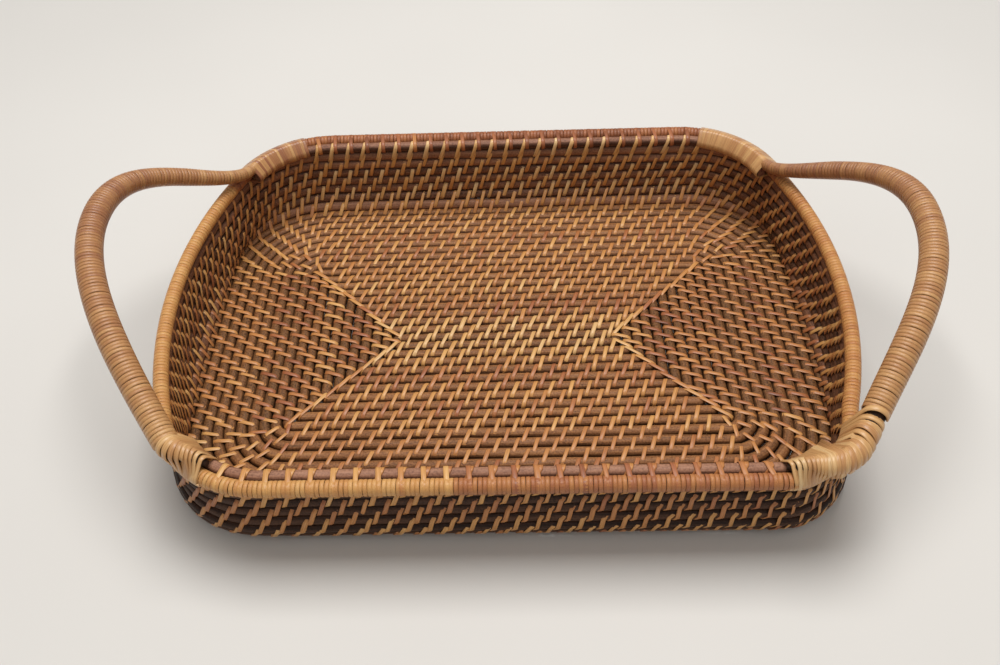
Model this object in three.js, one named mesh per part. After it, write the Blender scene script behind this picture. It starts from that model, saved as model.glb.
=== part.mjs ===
// Coiled rattan serving tray with two wrapped cane handles.
// Millimetres, +Z up. X runs along the tray, Y across it, the front long side faces -Y.
// The origin is the middle of the tray on the table top.
//
// The tray is built up from rattan canes laid side by side. Closed floor courses lie flat,
// mitred in the middle and rounded further out, and wall courses are stacked on the last of them:
// the wall has a rounded foot and then stands upright. The top course is a rod along each long side.
// A rim cane runs outside these rods and, at the ends, on top of the wall. Two bent canes are the
// handles: their thin ends lie in the groove between rim and rods, and peel lashings bind them there.

import * as THREE from 'three';

// Clearances
const CLEARANCE = 0.3; // between pieces that touch
const LASHING_SEAT = 0.45; // between a lashing and the canes that it binds
const TAIL_SLACK = 0.25; // more room over the tails, which swerve under their lashings
const HANDLE_WRAP_SEAT = 0.8; // between a handle cane and its wrapping, which spans the cane's bends

// Canes and peel
const CANE_DIAMETER = 6.8; // every course and the rim cane
const PEEL_THICKNESS = 1.0; // split rattan peel of all the windings
const RIM_WRAP_THICKNESS = 1.0;

// Floor
const FLOOR_COURSES = 19;
const SIDE_GAP = 0.7; // between courses, from the middle to the long sides
const END_GAP = 0.35; // between courses, from the middle to the ends
const MITRE_TIP = 70.4; // where the two mitres of one end meet on the centre line
const MITRED_COURSES = 9; // inner courses with sharp corners, the others turn on a radius

// Wall
const CLOSED_WALL_COURSES = 7; // the top course, of two rods, comes on top of them
const WALL_GAP = 0.3; // between stacked canes
const FOOT_COURSES = 3; // courses of the rounded foot
const END_FLARE = 7.5; // how much further out the upright wall lies than the floor, at the ends
const SIDE_FLARE = 11.2; // the same at the long sides
const TOP_CORNER_RADIUS = 55.5; // of the line of the rods
const WALL_CORNER_RADIUS = 58;
const TOP_END_RADIUS = 314; // the line of the rods bows outwards on this radius at the ends

// Handles: two hand-bent canes, alike but not twins
const HANDLE_REACH = 46.6; // from the line of the rods out to the middle of the grip
const HANDLE_RISE = 52.6; // from the line of the rods up to the middle of the grip
const GRIP_RADIUS = 6.3; // bare cane in the middle of the grip
const FRONT_LEG_RADIUS = 6.5;
const BACK_LEG_RADIUS = 4.4;
const FRONT_NECK_RADIUS = 5.8; // where the cane leaves the rim
const BACK_NECK_RADIUS = 2.4;
const TAIL_TIP_RADIUS = 1.9;

// All in degrees but for shifts and pulls: necks are turns round the corner from the end, frontSeat says
// where on the rim a front neck lies, up from straight outwards, and a splay turns outwards from the rim.
const HANDLES = [
  {
    name: 'left', side: -1, gripShift: 10.8, frontNeck: 37, backNeck: 22,
    frontSeat: 80, frontSplay: -1, frontClimb: 20,
    frontPull: 56, frontGripPull: 53, backPull: 41, backGripPull: 66,
  },
  {
    name: 'right', side: 1, gripShift: -3.4, frontNeck: 39, backNeck: 20,
    frontSeat: 50, frontSplay: -9, frontClimb: 19,
    frontPull: 55, frontGripPull: 60, backPull: 33, backGripPull: 63,
  },
];
const BACK_SPLAY = -2.5;
const BACK_CLIMB = 12;
const TAIL_END_TURN = 74; // how far round the corner the tails lie, in degrees from the end

// Windings
const HANDLE_WRAP_LOOPS = 24;
const HANDLE_WRAP_GAP = 1.3; // between neighbouring loops
const LASHING_PITCH = 3.3;
const LASHING_GAP = 0.75;

// Mitre bindings on the floor
const BINDING_WIDTH = 4.6;
const BINDING_COURSES = 12; // courses that each binding crosses

// Facets
const SECTION_SIDES = 8; // round canes are octagons that stand on a flat
const CORNER_STEPS = 4;
const END_STEPS = 2;
const LEG_STEPS = 20;
const TAIL_STEP = 4; // longest straight piece of a tail, in mm

const COLOURS = {
  floor: 0x8a6146,
  wall: 0x6b4a38,
  rim: 0xb98d5a,
  rimWrap: 0xc79c60,
  handle: 0xa87c50,
  handleWrap: 0xbf8f66,
  lashing: 0xc49a68,
  binding: 0xc08a4c,
};

const caneRadius = CANE_DIAMETER / 2;
const facetHalfAngle = Math.PI / SECTION_SIDES;
const flatToCorner = 1 / Math.cos(facetHalfAngle); // an octagon's corner radius over its flat radius
const sidePitch = CANE_DIAMETER + SIDE_GAP;
const endPitch = CANE_DIAMETER + END_GAP;
const wallPitch = CANE_DIAMETER + WALL_GAP;
const firstCornerRadius = caneRadius + CLEARANCE; // of the first course outside the mitred ones
const lashedPitch = CANE_DIAMETER + PEEL_THICKNESS + 2 * LASHING_SEAT; // peel passes under the rods
const rimRadius = caneRadius + CLEARANCE + RIM_WRAP_THICKNESS;
const rimOffset = caneRadius + CLEARANCE + rimRadius; // from the rods out to the rim cane
const rimLift = rimRadius - caneRadius; // both stand on one level, so that the lashings lie flat below
const radians = THREE.MathUtils.degToRad;

// An outline is half a length, half a width, a corner radius and the curvature of its bowed ends.

function floorOutline(course) {
  const pitch = Math.min(endPitch, sidePitch);
  const rounded = course >= MITRED_COURSES;
  return {
    halfLength: MITRE_TIP + (course + 0.5) * endPitch,
    halfWidth: (course + 0.5) * sidePitch,
    cornerRadius: rounded ? firstCornerRadius + (course - MITRED_COURSES) * pitch : 0,
    endCurvature: 0,
  };
}

function wallOutline(course) {
  const base = floorOutline(FLOOR_COURSES - 1);
  const share = Math.sin((Math.PI / 2) * Math.min(course / FOOT_COURSES, 1));
  return {
    halfLength: base.halfLength + share * END_FLARE,
    halfWidth: base.halfWidth + share * SIDE_FLARE,
    cornerRadius: THREE.MathUtils.lerp(base.cornerRadius, WALL_CORNER_RADIUS, share),
    endCurvature: share / (TOP_END_RADIUS + rimOffset),
  };
}

// Line of the two rods. The rim lies outside it, above the wall at the ends.
function rodOutline() {
  const wall = wallOutline(CLOSED_WALL_COURSES);
  return {
    halfLength: wall.halfLength - rimOffset,
    halfWidth: wall.halfWidth,
    cornerRadius: TOP_CORNER_RADIUS,
    endCurvature: 1 / TOP_END_RADIUS,
  };
}

// Corner arc of an outline: its centre and the direction in radians at which the end arc meets it.
function cornerArc(outline) {
  const centreY = outline.halfWidth - outline.cornerRadius;
  if (outline.endCurvature === 0) {
    return { centreX: outline.halfLength - outline.cornerRadius, centreY, start: 0 };
  }
  const endRadius = 1 / outline.endCurvature;
  const endCentreX = outline.halfLength - endRadius;
  const reach = Math.sqrt((endRadius - outline.cornerRadius) ** 2 - centreY ** 2);
  return { centreX: endCentreX + reach, centreY, start: Math.atan2(centreY, reach) };
}

// Corner points of the closed outline, anticlockwise from the middle of the +X end.
function outlinePoints(outline) {
  const { halfLength, halfWidth, cornerRadius, endCurvature } = outline;
  if (cornerRadius === 0) {
    return mirrored([new THREE.Vector2(halfLength, halfWidth)], false);
  }
  const arc = cornerArc(outline);
  const quarter = [];
  if (endCurvature > 0) {
    const endRadius = 1 / endCurvature;
    for (let i = 0; i < END_STEPS; i += 1) {
      const turn = (arc.start * i) / END_STEPS;
      const x = halfLength - endRadius + endRadius * Math.cos(turn);
      quarter.push(new THREE.Vector2(x, endRadius * Math.sin(turn)));
    }
  }
  for (let i = 0; i <= CORNER_STEPS; i += 1) {
    const turn = THREE.MathUtils.lerp(arc.start, Math.PI / 2, i / CORNER_STEPS);
    const x = arc.centreX + cornerRadius * Math.cos(turn);
    quarter.push(new THREE.Vector2(x, arc.centreY + cornerRadius * Math.sin(turn)));
  }
  return mirrored(quarter, endCurvature > 0);
}

// Mirrors one quarter into all four. The first point lies on the X axis if startsOnAxis.
function mirrored(quarter, startsOnAxis) {
  const flip = (list, sx, sy) => list.map((p) => new THREE.Vector2(p.x * sx, p.y * sy));
  const offAxis = startsOnAxis ? quarter.slice(1) : quarter;
  return [
    ...quarter,
    ...flip(offAxis, -1, 1).reverse(),
    ...flip(quarter, -1, -1),
    ...flip(offAxis, 1, -1).reverse(),
  ];
}

// At each point of a closed outline: the outward vector along which parallel lines keep their distance.
function mitreVectors(points) {
  return points.map((point, i) => {
    const before = points[(i + points.length - 1) % points.length];
    const after = points[(i + 1) % points.length];
    const arriving = point.clone().sub(before).normalize();
    const leaving = after.clone().sub(point).normalize();
    const bisector = new THREE.Vector2(arriving.y + leaving.y, -arriving.x - leaving.x).normalize();
    const cosine = bisector.x * leaving.y - bisector.y * leaving.x;
    return bisector.divideScalar(cosine);
  });
}

// Closed mesh of rows of points, faces outwards. Each row is a closed section; the rows close on each
// other or get end caps.
function skin(rows, closed) {
  const count = rows[0].length;
  const faces = [];
  const lastRow = closed ? rows.length : rows.length - 1;
  for (let i = 0; i < lastRow; i += 1) {
    const here = i * count;
    const next = ((i + 1) % rows.length) * count;
    for (let j = 0; j < count; j += 1) {
      const k = (j + 1) % count;
      faces.push([here + j, here + k, next + k], [here + j, next + k, next + j]);
    }
  }
  if (!closed) {
    const top = (rows.length - 1) * count;
    for (let j = 1; j < count - 1; j += 1) {
      faces.push([0, j + 1, j], [top, top + j, top + j + 1]);
    }
  }
  const points = rows.flat();
  const volumes = faces.map(([a, b, c]) => points[a].dot(points[b].clone().cross(points[c])));
  const inward = volumes.reduce((sum, volume) => sum + volume, 0) < 0;
  const geometry = new THREE.BufferGeometry().setFromPoints(points);
  geometry.setIndex(faces.flatMap((face) => (inward ? face.toReversed() : face)));
  geometry.computeVertexNormals();
  return geometry;
}

// Directions of an octagon's corners, so that it stands on a flat.
function sectionDirections() {
  return Array.from({ length: SECTION_SIDES }, (_, j) => {
    const turn = (2 * j + 1) * facetHalfAngle;
    return new THREE.Vector2(Math.cos(turn), Math.sin(turn));
  });
}

// Octagonal section of a cane whose flats lie at the given radius.
function roundSection(radius) {
  return sectionDirections().map((d) => d.multiplyScalar(radius * flatToCorner));
}

// Cane or sleeve that runs round an outline at one height. The section's x points outwards.
function ringGeometry(outline, offset, height, section) {
  const points = outlinePoints(outline);
  const mitres = mitreVectors(points);
  const rows = points.map((point, i) =>
    section.map((s) => {
      const plan = point.clone().addScaledVector(mitres[i], offset + s.x);
      return new THREE.Vector3(plan.x, plan.y, height + s.y);
    }),
  );
  return skin(rows, true);
}

// Section of a strip rolled round a cane: it stays open by a narrow split along the underside.
function rolledSection(innerRadius, outerRadius) {
  const around = (radius) => {
    const corners = roundSection(radius);
    const afterUnderside = (3 * SECTION_SIDES) / 4; // corners before it lie on the near side of the split
    return [
      new THREE.Vector2(CLEARANCE / 2, -radius),
      ...corners.slice(afterUnderside),
      ...corners.slice(0, afterUnderside),
      new THREE.Vector2(-CLEARANCE / 2, -radius),
    ];
  };
  return [...around(outerRadius), ...around(innerRadius).reverse()];
}

// The line of the rods, to bind along: distance along it, place, outward and upward vectors.

const topOutline = rodOutline();
const topHeight = caneRadius + CLOSED_WALL_COURSES * wallPitch + lashedPitch;

// Stretch of this line in one corner, from its end (X) side towards the long (Y) side.
function cornerTrack(side, front) {
  const points = outlinePoints(topOutline);
  const mitres = mitreVectors(points);
  const quarterCount = END_STEPS + CORNER_STEPS + 1;
  const sense = new THREE.Vector2(side, front ? -1 : 1);
  const stations = [];
  for (let i = 0; i < quarterCount; i += 1) {
    stations.push({
      place: points[i].clone().multiply(sense),
      outward: mitres[i].clone().multiply(sense),
    });
  }
  const distances = [0];
  for (let i = 1; i < stations.length; i += 1) {
    distances.push(distances[i - 1] + stations[i].place.distanceTo(stations[i - 1].place));
  }
  return { stations, distances };
}

function trackAt(track, distance) {
  const { stations, distances } = track;
  let i = 0;
  while (i < stations.length - 2 && distances[i + 1] < distance) {
    i += 1;
  }
  const share = (distance - distances[i]) / (distances[i + 1] - distances[i]);
  return {
    place: stations[i].place.clone().lerp(stations[i + 1].place, share),
    outward: stations[i].outward.clone().lerp(stations[i + 1].outward, share),
  };
}

// Distance along a corner's track at which the outline faces a direction, in degrees from the X axis.
function distanceAtTurn(track, degrees) {
  const arc = cornerArc(topOutline);
  const turn = radians(degrees);
  if (turn < arc.start) {
    return (track.distances[END_STEPS] * turn) / arc.start;
  }
  const steps = (CORNER_STEPS * (turn - arc.start)) / (Math.PI / 2 - arc.start);
  const whole = Math.min(Math.floor(steps), CORNER_STEPS - 1);
  const from = track.distances[END_STEPS + whole];
  const to = track.distances[END_STEPS + whole + 1];
  return from + (to - from) * (steps - whole);
}

// Where on the rim a cane lies that also touches a rod, in degrees from straight outwards.
function grooveAngle(radius) {
  const toRod = (caneRadius + radius) * flatToCorner + CLEARANCE;
  const toRim = (rimRadius + radius) * flatToCorner + CLEARANCE;
  const span = Math.hypot(rimOffset, rimLift);
  const atRim = Math.acos((toRim ** 2 + span ** 2 - toRod ** 2) / (2 * toRim * span));
  return 180 - THREE.MathUtils.radToDeg(atRim - Math.atan2(rimLift, rimOffset));
}

// A cane lying on the rim: how far out from the rods' line and how far above it the cane's centre is.
function seatOnRim(radius, degrees) {
  const away = (rimRadius + radius) * flatToCorner + CLEARANCE;
  const turn = radians(degrees);
  return new THREE.Vector2(rimOffset + away * Math.cos(turn), rimLift + away * Math.sin(turn));
}

// Radius and seat of a handle's tail, for the share of the way from its neck (0) to its tip (1).
function tailAt(handle, front, share) {
  const neckRadius = front ? FRONT_NECK_RADIUS : BACK_NECK_RADIUS;
  const neckSeat = front ? handle.frontSeat : grooveAngle(BACK_NECK_RADIUS);
  const radius = THREE.MathUtils.lerp(neckRadius, TAIL_TIP_RADIUS, share);
  const degrees = THREE.MathUtils.lerp(neckSeat, grooveAngle(TAIL_TIP_RADIUS), share);
  return { radius, seat: seatOnRim(radius, degrees) };
}

function pointOnTrack(track, distance, offset, lift) {
  const { place, outward } = trackAt(track, distance);
  const plan = place.addScaledVector(outward, offset);
  return new THREE.Vector3(plan.x, plan.y, topHeight + lift);
}

// Rod along one long side, which ends at the necks of both handles.
function rodGeometry(front) {
  const halves = HANDLES.map((handle) => {
    const track = cornerTrack(handle.side, front);
    const neckDistance = distanceAtTurn(track, front ? handle.frontNeck : handle.backNeck);
    const distances = [neckDistance, ...track.distances.filter((d) => d > neckDistance)];
    const row = (distance) => roundSection(caneRadius).map((s) => pointOnTrack(track, distance, s.x, s.y));
    return distances.map(row);
  });
  return skin([...halves[0], ...halves[1].reverse()], false);
}

// Tail of a handle: stations from its tip to the neck, where the cane leaves the rim.
function tailStations(handle, front, track, neckDistance, tipDistance) {
  const inner = track.distances.filter((d) => d > neckDistance && d < tipDistance).reverse();
  const ends = [tipDistance, ...inner, neckDistance];
  const between = ends.slice(1).flatMap((end, i) => {
    const steps = Math.ceil((ends[i] - end) / TAIL_STEP);
    return Array.from({ length: steps }, (_, n) => THREE.MathUtils.lerp(ends[i], end, (n + 1) / steps));
  });
  return [tipDistance, ...between].map((distance) => {
    const share = (distance - neckDistance) / (tipDistance - neckDistance);
    const { radius, seat } = tailAt(handle, front, share);
    return { point: pointOnTrack(track, distance, seat.x, seat.y), radius };
  });
}

// One leg of a handle as a Bézier curve from its neck to the middle of the grip.
function legCurve(handle, front) {
  const track = cornerTrack(handle.side, front);
  const turn = radians(front ? handle.frontNeck : handle.backNeck);
  const splay = radians(front ? handle.frontSplay : BACK_SPLAY);
  const climb = radians(front ? handle.frontClimb : BACK_CLIMB);
  const { seat } = tailAt(handle, front, 0);
  const neckDistance = distanceAtTurn(track, front ? handle.frontNeck : handle.backNeck);
  const neck = pointOnTrack(track, neckDistance, seat.x, seat.y);
  const across = front ? 1 : -1;
  const heading = new THREE.Vector3(
    handle.side * Math.sin(turn + splay) * Math.cos(climb),
    across * Math.cos(turn + splay) * Math.cos(climb),
    Math.sin(climb),
  );
  const grip = new THREE.Vector3(
    handle.side * (topOutline.halfLength + HANDLE_REACH),
    handle.gripShift,
    topHeight + HANDLE_RISE,
  );
  const pull = front ? handle.frontPull : handle.backPull;
  const gripPull = front ? handle.frontGripPull : handle.backGripPull;
  const beforeGrip = grip.clone().add(new THREE.Vector3(0, -across * gripPull, 0));
  return new THREE.CubicBezierCurve3(neck, neck.clone().addScaledVector(heading, pull), beforeGrip, grip);
}

// Bare radius along a leg, from the neck (0) to the middle of the grip (1).
function legRadius(front, share) {
  const neck = front ? FRONT_NECK_RADIUS : BACK_NECK_RADIUS;
  const leg = front ? FRONT_LEG_RADIUS : BACK_LEG_RADIUS;
  const shoulder = 0.4; // share of the leg at which it has the leg's own thickness
  if (share < shoulder) {
    return THREE.MathUtils.lerp(neck, leg, share / shoulder);
  }
  const rest = (share - shoulder) / (1 - shoulder);
  return THREE.MathUtils.lerp(leg, GRIP_RADIUS, THREE.MathUtils.smoothstep(rest, 0, 1));
}

function legStations(curve, front) {
  const stations = [];
  for (let i = 1; i <= LEG_STEPS; i += 1) {
    const share = i / LEG_STEPS;
    stations.push({ point: curve.getPointAt(share), radius: legRadius(front, share) });
  }
  return stations;
}

// Whole handle cane from the tip of its front tail to the tip of its back tail.
function handlePath(handle) {
  const half = (front) => {
    const track = cornerTrack(handle.side, front);
    const neckTurn = front ? handle.frontNeck : handle.backNeck;
    const neckDistance = distanceAtTurn(track, neckTurn);
    const tipDistance = distanceAtTurn(track, TAIL_END_TURN);
    const tail = tailStations(handle, front, track, neckDistance, tipDistance);
    const leg = legStations(legCurve(handle, front), front);
    return { tail, leg };
  };
  const frontHalf = half(true);
  const backHalf = half(false);
  const stations = [
    ...frontHalf.tail,
    ...frontHalf.leg,
    ...backHalf.leg.slice(0, -1).reverse(),
    ...backHalf.tail.slice().reverse(),
  ];
  addFrames(stations);
  return {
    stations,
    frontNeck: frontHalf.tail.length - 1,
    backNeck: stations.length - backHalf.tail.length,
  };
}

// Gives each station two axes square to the path, carried along it without twist, and its distance.
function addFrames(stations) {
  let sideways = new THREE.Vector3(0, 0, 1);
  let distance = 0;
  stations.forEach((station, i) => {
    const before = stations[Math.max(i - 1, 0)].point;
    const after = stations[Math.min(i + 1, stations.length - 1)].point;
    const heading = after.clone().sub(before).normalize();
    sideways = sideways.clone().addScaledVector(heading, -sideways.dot(heading)).normalize();
    station.up = sideways;
    station.across = heading.clone().cross(sideways);
    distance += i === 0 ? 0 : station.point.distanceTo(before);
    station.distance = distance;
  });
}

function stationPoint(station, direction, radius) {
  return station.point
    .clone()
    .addScaledVector(station.across, direction.x * radius * flatToCorner)
    .addScaledVector(station.up, direction.y * radius * flatToCorner);
}

function handleCaneGeometry(path) {
  const directions = sectionDirections();
  const rows = path.stations.map((station) =>
    directions.map((direction) => stationPoint(station, direction, station.radius)),
  );
  return skin(rows, false);
}

// Point above the handle cane's faceted surface, at a distance along it and towards one octagon corner.
function aboveCane(path, distance, direction, height) {
  const { stations } = path;
  let i = 0;
  while (i < stations.length - 2 && stations[i + 1].distance < distance) {
    i += 1;
  }
  const share = (distance - stations[i].distance) / (stations[i + 1].distance - stations[i].distance);
  const from = stationPoint(stations[i], direction, stations[i].radius + height);
  const to = stationPoint(stations[i + 1], direction, stations[i + 1].radius + height);
  return from.lerp(to, share);
}

// Peel strip wound without a break: each loop has one step for each corner of the section.
// pointAt(distance, corner, height) gives a place on what it is wound round.
function windingRows(pointAt, start, pitch, loops, width) {
  const rows = [];
  for (let step = 0; step <= loops * SECTION_SIDES; step += 1) {
    const middle = start + width / 2 + (step * pitch) / SECTION_SIDES;
    const corner = step % SECTION_SIDES;
    rows.push([
      pointAt(middle - width / 2, corner, 0),
      pointAt(middle + width / 2, corner, 0),
      pointAt(middle + width / 2, corner, PEEL_THICKNESS),
      pointAt(middle - width / 2, corner, PEEL_THICKNESS),
    ]);
  }
  return rows;
}

// Least distance from one loop's trailing edge to the next loop's leading edge.
function leastSelfGap(rows) {
  let least = Infinity;
  for (let i = 0; i + SECTION_SIDES < rows.length; i += 1) {
    const next = rows[i + SECTION_SIDES];
    least = Math.min(least, rows[i][1].distanceTo(next[0]), rows[i][2].distanceTo(next[3]));
  }
  return least;
}

// The wrapping starts and ends where it clears the rim by the usual clearance.
function wrapLimits(path) {
  const rimLine = outlinePoints(topOutline);
  const rimMitres = mitreVectors(rimLine);
  const rimPoints = rimLine.map((p, i) => p.clone().addScaledVector(rimMitres[i], rimOffset));
  const rimHeight = topHeight + rimLift;
  const clears = (station) => {
    const plan = new THREE.Vector2(station.point.x, station.point.y);
    let nearest = Infinity;
    rimPoints.forEach((from, i) => {
      const to = rimPoints[(i + 1) % rimPoints.length];
      const along = to.clone().sub(from);
      const share = THREE.MathUtils.clamp(plan.clone().sub(from).dot(along) / along.lengthSq(), 0, 1);
      nearest = Math.min(nearest, plan.distanceTo(from.clone().addScaledVector(along, share)));
    });
    const wrapped = station.radius + HANDLE_WRAP_SEAT + PEEL_THICKNESS;
    const needed = (wrapped + rimRadius) * flatToCorner + CLEARANCE;
    return Math.hypot(nearest, station.point.z - rimHeight) > needed;
  };
  const first = path.stations.findIndex((station, i) => i > path.frontNeck && clears(station));
  let last = path.backNeck - 1;
  while (!clears(path.stations[last])) {
    last -= 1;
  }
  return { start: path.stations[first].distance, end: path.stations[last].distance };
}

function handleWrapRows(path) {
  const directions = sectionDirections();
  const { start, end } = wrapLimits(path);
  const pitch = (end - start) / (HANDLE_WRAP_LOOPS + 1);
  const width = pitch - HANDLE_WRAP_GAP;
  const pointAt = (distance, corner, height) =>
    aboveCane(path, distance, directions[corner], HANDLE_WRAP_SEAT + height);
  return windingRows(pointAt, start, pitch, HANDLE_WRAP_LOOPS, width);
}

// Corner of the octagon that just holds a rod, the rim and a handle's tail, in the plane
// square to the rim: facets lie against whichever cane reaches furthest that way.
function bundleCorner(tail, corner, extra) {
  const canes = [
    { centre: new THREE.Vector2(0, 0), radius: caneRadius },
    { centre: new THREE.Vector2(rimOffset, rimLift), radius: rimRadius },
    { centre: tail.seat, radius: tail.radius * flatToCorner + TAIL_SLACK },
  ];
  const facet = (index) => {
    const turn = 2 * index * facetHalfAngle;
    const normal = new THREE.Vector2(Math.cos(turn), Math.sin(turn));
    const reaches = canes.map((cane) => cane.centre.dot(normal) + cane.radius);
    return { normal, reach: Math.max(...reaches) + LASHING_SEAT + extra };
  };
  const a = facet(corner);
  const b = facet(corner + 1);
  const cross = a.normal.x * b.normal.y - a.normal.y * b.normal.x;
  return new THREE.Vector2(
    (a.reach * b.normal.y - b.reach * a.normal.y) / cross,
    (a.normal.x * b.reach - b.normal.x * a.reach) / cross,
  );
}

function lashingRows(handle, front) {
  const track = cornerTrack(handle.side, front);
  const neckDistance = distanceAtTurn(track, front ? handle.frontNeck : handle.backNeck);
  const tipDistance = distanceAtTurn(track, TAIL_END_TURN);
  const width = LASHING_PITCH - LASHING_GAP;
  const loops = Math.floor((tipDistance - neckDistance - width) / LASHING_PITCH);
  const pointAt = (distance, corner, height) => {
    const share = THREE.MathUtils.clamp((distance - neckDistance) / (tipDistance - neckDistance), 0, 1);
    const place = bundleCorner(tailAt(handle, front, share), corner, height);
    return pointOnTrack(track, distance, place.x, place.y);
  };
  return windingRows(pointAt, neckDistance, LASHING_PITCH, loops, width);
}

// Peel binding over one mitre of the floor, from the tip outwards.
function bindingMesh(side, front) {
  const inner = floorOutline(0);
  const outer = floorOutline(BINDING_COURSES);
  const run = new THREE.Vector2(outer.halfLength - inner.halfLength, outer.halfWidth - inner.halfWidth);
  const geometry = new THREE.BoxGeometry(run.length(), BINDING_WIDTH, PEEL_THICKNESS);
  const name = `mitre_binding_${front ? 'front' : 'back'}_${side < 0 ? 'left' : 'right'}`;
  const mesh = piece(name, geometry, 'binding');
  const across = front ? -1 : 1;
  mesh.rotation.z = Math.atan2(across * run.y, side * run.x);
  mesh.position.set(
    side * (inner.halfLength + run.x / 2),
    across * (inner.halfWidth + run.y / 2),
    CANE_DIAMETER + CLEARANCE + PEEL_THICKNESS / 2,
  );
  return mesh;
}

function piece(name, geometry, colour) {
  const material = new THREE.MeshStandardMaterial({
    color: COLOURS[colour],
    roughness: 0.6,
    metalness: 0,
  });
  const mesh = new THREE.Mesh(geometry, material);
  mesh.name = name;
  return mesh;
}

const tray = new THREE.Group();
tray.name = 'serving_tray';

for (let course = 0; course < FLOOR_COURSES; course += 1) {
  const geometry = ringGeometry(floorOutline(course), 0, caneRadius, roundSection(caneRadius));
  tray.add(piece(`floor_course_${String(course).padStart(2, '0')}`, geometry, 'floor'));
}

for (let course = 1; course <= CLOSED_WALL_COURSES; course += 1) {
  const height = caneRadius + course * wallPitch;
  const geometry = ringGeometry(wallOutline(course), 0, height, roundSection(caneRadius));
  tray.add(piece(`wall_course_${course}`, geometry, 'wall'));
}
// The top course is two rods. The front one carries the course's plain name.
const topCourse = `wall_course_${CLOSED_WALL_COURSES + 1}`;
tray.add(piece(topCourse, rodGeometry(true), 'wall'));
tray.add(piece(`${topCourse}_back`, rodGeometry(false), 'wall'));

const rimHeight = topHeight + rimLift;
tray.add(piece('rim_cane', ringGeometry(topOutline, rimOffset, rimHeight, roundSection(caneRadius)), 'rim'));
const rimWrapSection = rolledSection(caneRadius + CLEARANCE, rimRadius);
tray.add(piece('rim_wrap', ringGeometry(topOutline, rimOffset, rimHeight, rimWrapSection), 'rimWrap'));

for (const handle of HANDLES) {
  const path = handlePath(handle);
  tray.add(piece(`handle_cane_${handle.name}`, handleCaneGeometry(path), 'handle'));
  const wrapRows = handleWrapRows(path);
  console.log(`handle_wrap_${handle.name}: least gap between loops ${leastSelfGap(wrapRows).toFixed(2)} mm`);
  tray.add(piece(`handle_wrap_${handle.name}`, skin(wrapRows, false), 'handleWrap'));
  for (const front of [true, false]) {
    const name = `corner_lashing_${front ? 'front' : 'back'}_${handle.name}`;
    const rows = lashingRows(handle, front);
    console.log(`${name}: least gap between loops ${leastSelfGap(rows).toFixed(2)} mm`);
    tray.add(piece(name, skin(rows, false), 'lashing'));
    tray.add(bindingMesh(handle.side, front));
  }
}

export default tray;
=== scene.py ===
# Coiled rattan serving tray with two wrapped cane handles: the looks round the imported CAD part.
# Metres, +Z up. X runs along the tray, the front long side faces -Y, the table top is at z = 0.

import math
from dataclasses import dataclass

import bmesh
import bpy
import numpy as np
from mathutils import Matrix, Vector


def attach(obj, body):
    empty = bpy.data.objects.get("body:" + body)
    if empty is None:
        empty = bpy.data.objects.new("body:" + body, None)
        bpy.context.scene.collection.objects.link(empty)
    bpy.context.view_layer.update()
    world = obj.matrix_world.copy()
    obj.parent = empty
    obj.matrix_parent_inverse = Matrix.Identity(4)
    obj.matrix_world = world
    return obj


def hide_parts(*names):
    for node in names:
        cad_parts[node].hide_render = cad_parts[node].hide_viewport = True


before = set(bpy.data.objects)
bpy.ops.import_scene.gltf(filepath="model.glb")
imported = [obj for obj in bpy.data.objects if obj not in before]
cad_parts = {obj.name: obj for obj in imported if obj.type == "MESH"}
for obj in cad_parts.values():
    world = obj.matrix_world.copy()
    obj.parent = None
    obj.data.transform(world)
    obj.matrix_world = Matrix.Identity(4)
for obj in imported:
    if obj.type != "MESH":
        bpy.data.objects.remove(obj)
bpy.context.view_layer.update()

MM = 0.001

# Measures that repeat the CAD part's own

FLOOR_COURSES = 19
SIDE_PITCH = 7.5 * MM
END_PITCH = 7.15 * MM
MITRE_TIP = 70.4 * MM
MITRED_COURSES = 9
FIRST_CORNER_RADIUS = 3.7 * MM
CAD_CANE_RADIUS = 3.4 * MM
CLOSED_WALL_COURSES = 7
END_FLARE = 7.5 * MM
SIDE_FLARE = 11.2 * MM
TOP_CORNER_RADIUS = 55.5 * MM
WALL_CORNER_RADIUS = 58 * MM
TOP_END_RADIUS = 314 * MM
RIM_OFFSET = 8.4 * MM
RIM_RADIUS = 4.7 * MM
HANDLE_RISE = 52.6 * MM
GRIP_RADIUS = 6.3 * MM
TAIL_TIP_RADIUS = 1.9 * MM
CLEARANCE = 0.3 * MM
FACETS = 1 / math.cos(math.radians(22.5))  # corner radius over flat radius of the CAD's octagonal canes
HALVES = {"front": -1, "back": 1}  # of the tray, and their side of the X axis
LEG_RADII = {"front": 6.5 * MM, "back": 4.4 * MM}
NECK_RADII = {"front": 5.8 * MM, "back": 2.4 * MM}  # where the cane leaves the rim
TAIL_TAPERS = {"front": 2.4, "back": 1}  # above 1 a tail stays thick for longer
SHOULDER = 0.4  # share of a leg from where it swells to the grip

# In degrees: neck and end are turns round the corner from the tray's end, seat says where on the rim the
# front neck lies, and splay turns outwards. In millimetres: reach, shift, pulls, and the lead by which a
# lashing starts up the leg.
HANDLES = {
    "left": dict(side=-1, reach=45.6, grip_shift=10.8,
                 front=dict(neck=37, end=60, seat=80, lead=0, splay=-1, climb=20, pull=57, grip_pull=53),
                 back=dict(neck=22, end=71, lead=0, splay=-2.5, climb=12, pull=41, grip_pull=66)),
    "right": dict(side=1, reach=47.0, grip_shift=-3.4,
                  front=dict(neck=39, end=74, seat=50, lead=13, splay=-9, climb=19, pull=57, grip_pull=60),
                  back=dict(neck=20, end=74, lead=0, splay=-2.5, climb=12, pull=33, grip_pull=63)),
}

# Canes and peel as they show

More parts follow.
